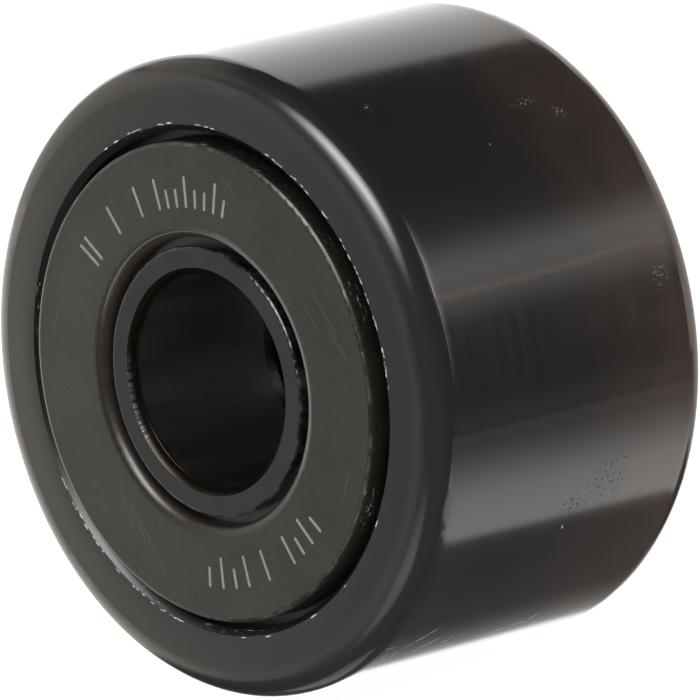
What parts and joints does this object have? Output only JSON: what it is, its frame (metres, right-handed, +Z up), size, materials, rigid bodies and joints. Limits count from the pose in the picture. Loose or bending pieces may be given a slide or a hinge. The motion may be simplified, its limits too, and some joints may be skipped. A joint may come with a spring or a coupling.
{
  "type": "cam follower",
  "caption": "Yoke-type cam follower: a thick black steel roller turning on needle rollers around a bored inner ring, with an end plate pressed on at each side.",
  "frame": {"origin": "centre of the bore, at the middle of the roller's width", "axes": "+Y along the bore's axis, which the roller turns about; -Y is the front; +Z up, with the oil hole at +Z"},
  "size_m": [0.0381, 0.0234, 0.038],
  "materials": {
    "roller_steel": "black oxide, glossy tread and satin end faces",
    "end_plate_steel": "satin black oxide",
    "inner_ring_steel": "satin black oxide",
    "needle_steel": "ground and polished"
  },
  "bodies": {
    "fixed_core": {"inner_ring": "inner_ring_steel", "end_plate_front": "end_plate_steel", "end_plate_rear": "end_plate_steel"},
    "roller": {"outer_ring": "roller_steel"},
    "needle_01": {"needle_01": "needle_steel"},
    "needle_02": {"needle_02": "needle_steel"},
    "needle_03": {"needle_03": "needle_steel"},
    "needle_04": {"needle_04": "needle_steel"},
    "needle_05": {"needle_05": "needle_steel"},
    "needle_06": {"needle_06": "needle_steel"},
    "needle_07": {"needle_07": "needle_steel"},
    "needle_08": {"needle_08": "needle_steel"},
    "needle_09": {"needle_09": "needle_steel"},
    "needle_10": {"needle_10": "needle_steel"},
    "needle_11": {"needle_11": "needle_steel"},
    "needle_12": {"needle_12": "needle_steel"},
    "needle_13": {"needle_13": "needle_steel"},
    "needle_14": {"needle_14": "needle_steel"},
    "needle_15": {"needle_15": "needle_steel"},
    "needle_16": {"needle_16": "needle_steel"},
    "needle_17": {"needle_17": "needle_steel"},
    "needle_18": {"needle_18": "needle_steel"},
    "needle_19": {"needle_19": "needle_steel"},
    "needle_20": {"needle_20": "needle_steel"},
    "needle_21": {"needle_21": "needle_steel"},
    "needle_22": {"needle_22": "needle_steel"}
  },
  "joints": [
    {"name": "roller_spin", "type": "hinge", "parent": "fixed_core", "child": "roller", "pos_m": [0, 0, 0], "axis": [0, 1, 0], "continuous": true},
    {"name": "needle_orbit", "type": "hinge", "parent": "fixed_core", "child": "needle_01", "pos_m": [0, 0, 0], "axis": [0, 1, 0], "continuous": true},
    {"name": "needle_02_spin", "type": "hinge", "parent": "needle_01", "child": "needle_02", "pos_m": [0.0108, 0, 0.00317], "axis": [0, 1, 0], "continuous": true},
    {"name": "needle_03_spin", "type": "hinge", "parent": "needle_01", "child": "needle_03", "pos_m": [0.00947, 0, 0.00609], "axis": [0, 1, 0], "continuous": true},
    {"name": "needle_04_spin", "type": "hinge", "parent": "needle_01", "child": "needle_04", "pos_m": [0.00737, 0, 0.00851], "axis": [0, 1, 0], "continuous": true},
    {"name": "needle_05_spin", "type": "hinge", "parent": "needle_01", "child": "needle_05", "pos_m": [0.00468, 0, 0.01024], "axis": [0, 1, 0], "continuous": true},
    {"name": "needle_06_spin", "type": "hinge", "parent": "needle_01", "child": "needle_06", "pos_m": [0.0016, 0, 0.01115], "axis": [0, 1, 0], "continuous": true},
    {"name": "needle_07_spin", "type": "hinge", "parent": "needle_01", "child": "needle_07", "pos_m": [-0.0016, 0, 0.01115], "axis": [0, 1, 0], "continuous": true},
    {"name": "needle_08_spin", "type": "hinge", "parent": "needle_01", "child": "needle_08", "pos_m": [-0.00468, 0, 0.01024], "axis": [0, 1, 0], "continuous": true},
    {"name": "needle_09_spin", "type": "hinge", "parent": "needle_01", "child": "needle_09", "pos_m": [-0.00737, 0, 0.00851], "axis": [0, 1, 0], "continuous": true},
    {"name": "needle_10_spin", "type": "hinge", "parent": "needle_01", "child": "needle_10", "pos_m": [-0.00947, 0, 0.00609], "axis": [0, 1, 0], "continuous": true},
    {"name": "needle_11_spin", "type": "hinge", "parent": "needle_01", "child": "needle_11", "pos_m": [-0.0108, 0, 0.00317], "axis": [0, 1, 0], "continuous": true},
    {"name": "needle_12_spin", "type": "hinge", "parent": "needle_01", "child": "needle_12", "pos_m": [-0.01126, 0, 0], "axis": [0, 1, 0], "continuous": true},
    {"name": "needle_13_spin", "type": "hinge", "parent": "needle_01", "child": "needle_13", "pos_m": [-0.0108, 0, -0.00317], "axis": [0, 1, 0], "continuous": true},
    {"name": "needle_14_spin", "type": "hinge", "parent": "needle_01", "child": "needle_14", "pos_m": [-0.00947, 0, -0.00609], "axis": [0, 1, 0], "continuous": true},
    {"name": "needle_15_spin", "type": "hinge", "parent": "needle_01", "child": "needle_15", "pos_m": [-0.00737, 0, -0.00851], "axis": [0, 1, 0], "continuous": true},
    {"name": "needle_16_spin", "type": "hinge", "parent": "needle_01", "child": "needle_16", "pos_m": [-0.00468, 0, -0.01024], "axis": [0, 1, 0], "continuous": true},
    {"name": "needle_17_spin", "type": "hinge", "parent": "needle_01", "child": "needle_17", "pos_m": [-0.0016, 0, -0.01115], "axis": [0, 1, 0], "continuous": true},
    {"name": "needle_18_spin", "type": "hinge", "parent": "needle_01", "child": "needle_18", "pos_m": [0.0016, 0, -0.01115], "axis": [0, 1, 0], "continuous": true},
    {"name": "needle_19_spin", "type": "hinge", "parent": "needle_01", "child": "needle_19", "pos_m": [0.00468, 0, -0.01024], "axis": [0, 1, 0], "continuous": true},
    {"name": "needle_20_spin", "type": "hinge", "parent": "needle_01", "child": "needle_20", "pos_m": [0.00737, 0, -0.00851], "axis": [0, 1, 0], "continuous": true},
    {"name": "needle_21_spin", "type": "hinge", "parent": "needle_01", "child": "needle_21", "pos_m": [0.00947, 0, -0.00609], "axis": [0, 1, 0], "continuous": true},
    {"name": "needle_22_spin", "type": "hinge", "parent": "needle_01", "child": "needle_22", "pos_m": [0.0108, 0, -0.00317], "axis": [0, 1, 0], "continuous": true}
  ],
  "couplings": [
    {"joint": "needle_orbit", "follows": "roller_spin", "ratio": 0.57049},
    {"joint": "needle_02_spin", "follows": "roller_spin", "ratio": 3.476},
    {"joint": "needle_03_spin", "follows": "roller_spin", "ratio": 3.476},
    {"joint": "needle_04_spin", "follows": "roller_spin", "ratio": 3.476},
    {"joint": "needle_05_spin", "follows": "roller_spin", "ratio": 3.476},
    {"joint": "needle_06_spin", "follows": "roller_spin", "ratio": 3.476},
    {"joint": "needle_07_spin", "follows": "roller_spin", "ratio": 3.476},
    {"joint": "needle_08_spin", "follows": "roller_spin", "ratio": 3.476},
    {"joint": "needle_09_spin", "follows": "roller_spin", "ratio": 3.476},
    {"joint": "needle_10_spin", "follows": "roller_spin", "ratio": 3.476},
    {"joint": "needle_11_spin", "follows": "roller_spin", "ratio": 3.476},
    {"joint": "needle_12_spin", "follows": "roller_spin", "ratio": 3.476},
    {"joint": "needle_13_spin", "follows": "roller_spin", "ratio": 3.476},
    {"joint": "needle_14_spin", "follows": "roller_spin", "ratio": 3.476},
    {"joint": "needle_15_spin", "follows": "roller_spin", "ratio": 3.476},
    {"joint": "needle_16_spin", "follows": "roller_spin", "ratio": 3.476},
    {"joint": "needle_17_spin", "follows": "roller_spin", "ratio": 3.476},
    {"joint": "needle_18_spin", "follows": "roller_spin", "ratio": 3.476},
    {"joint": "needle_19_spin", "follows": "roller_spin", "ratio": 3.476},
    {"joint": "needle_20_spin", "follows": "roller_spin", "ratio": 3.476},
    {"joint": "needle_21_spin", "follows": "roller_spin", "ratio": 3.476},
    {"joint": "needle_22_spin", "follows": "roller_spin", "ratio": 3.476}
  ]
}
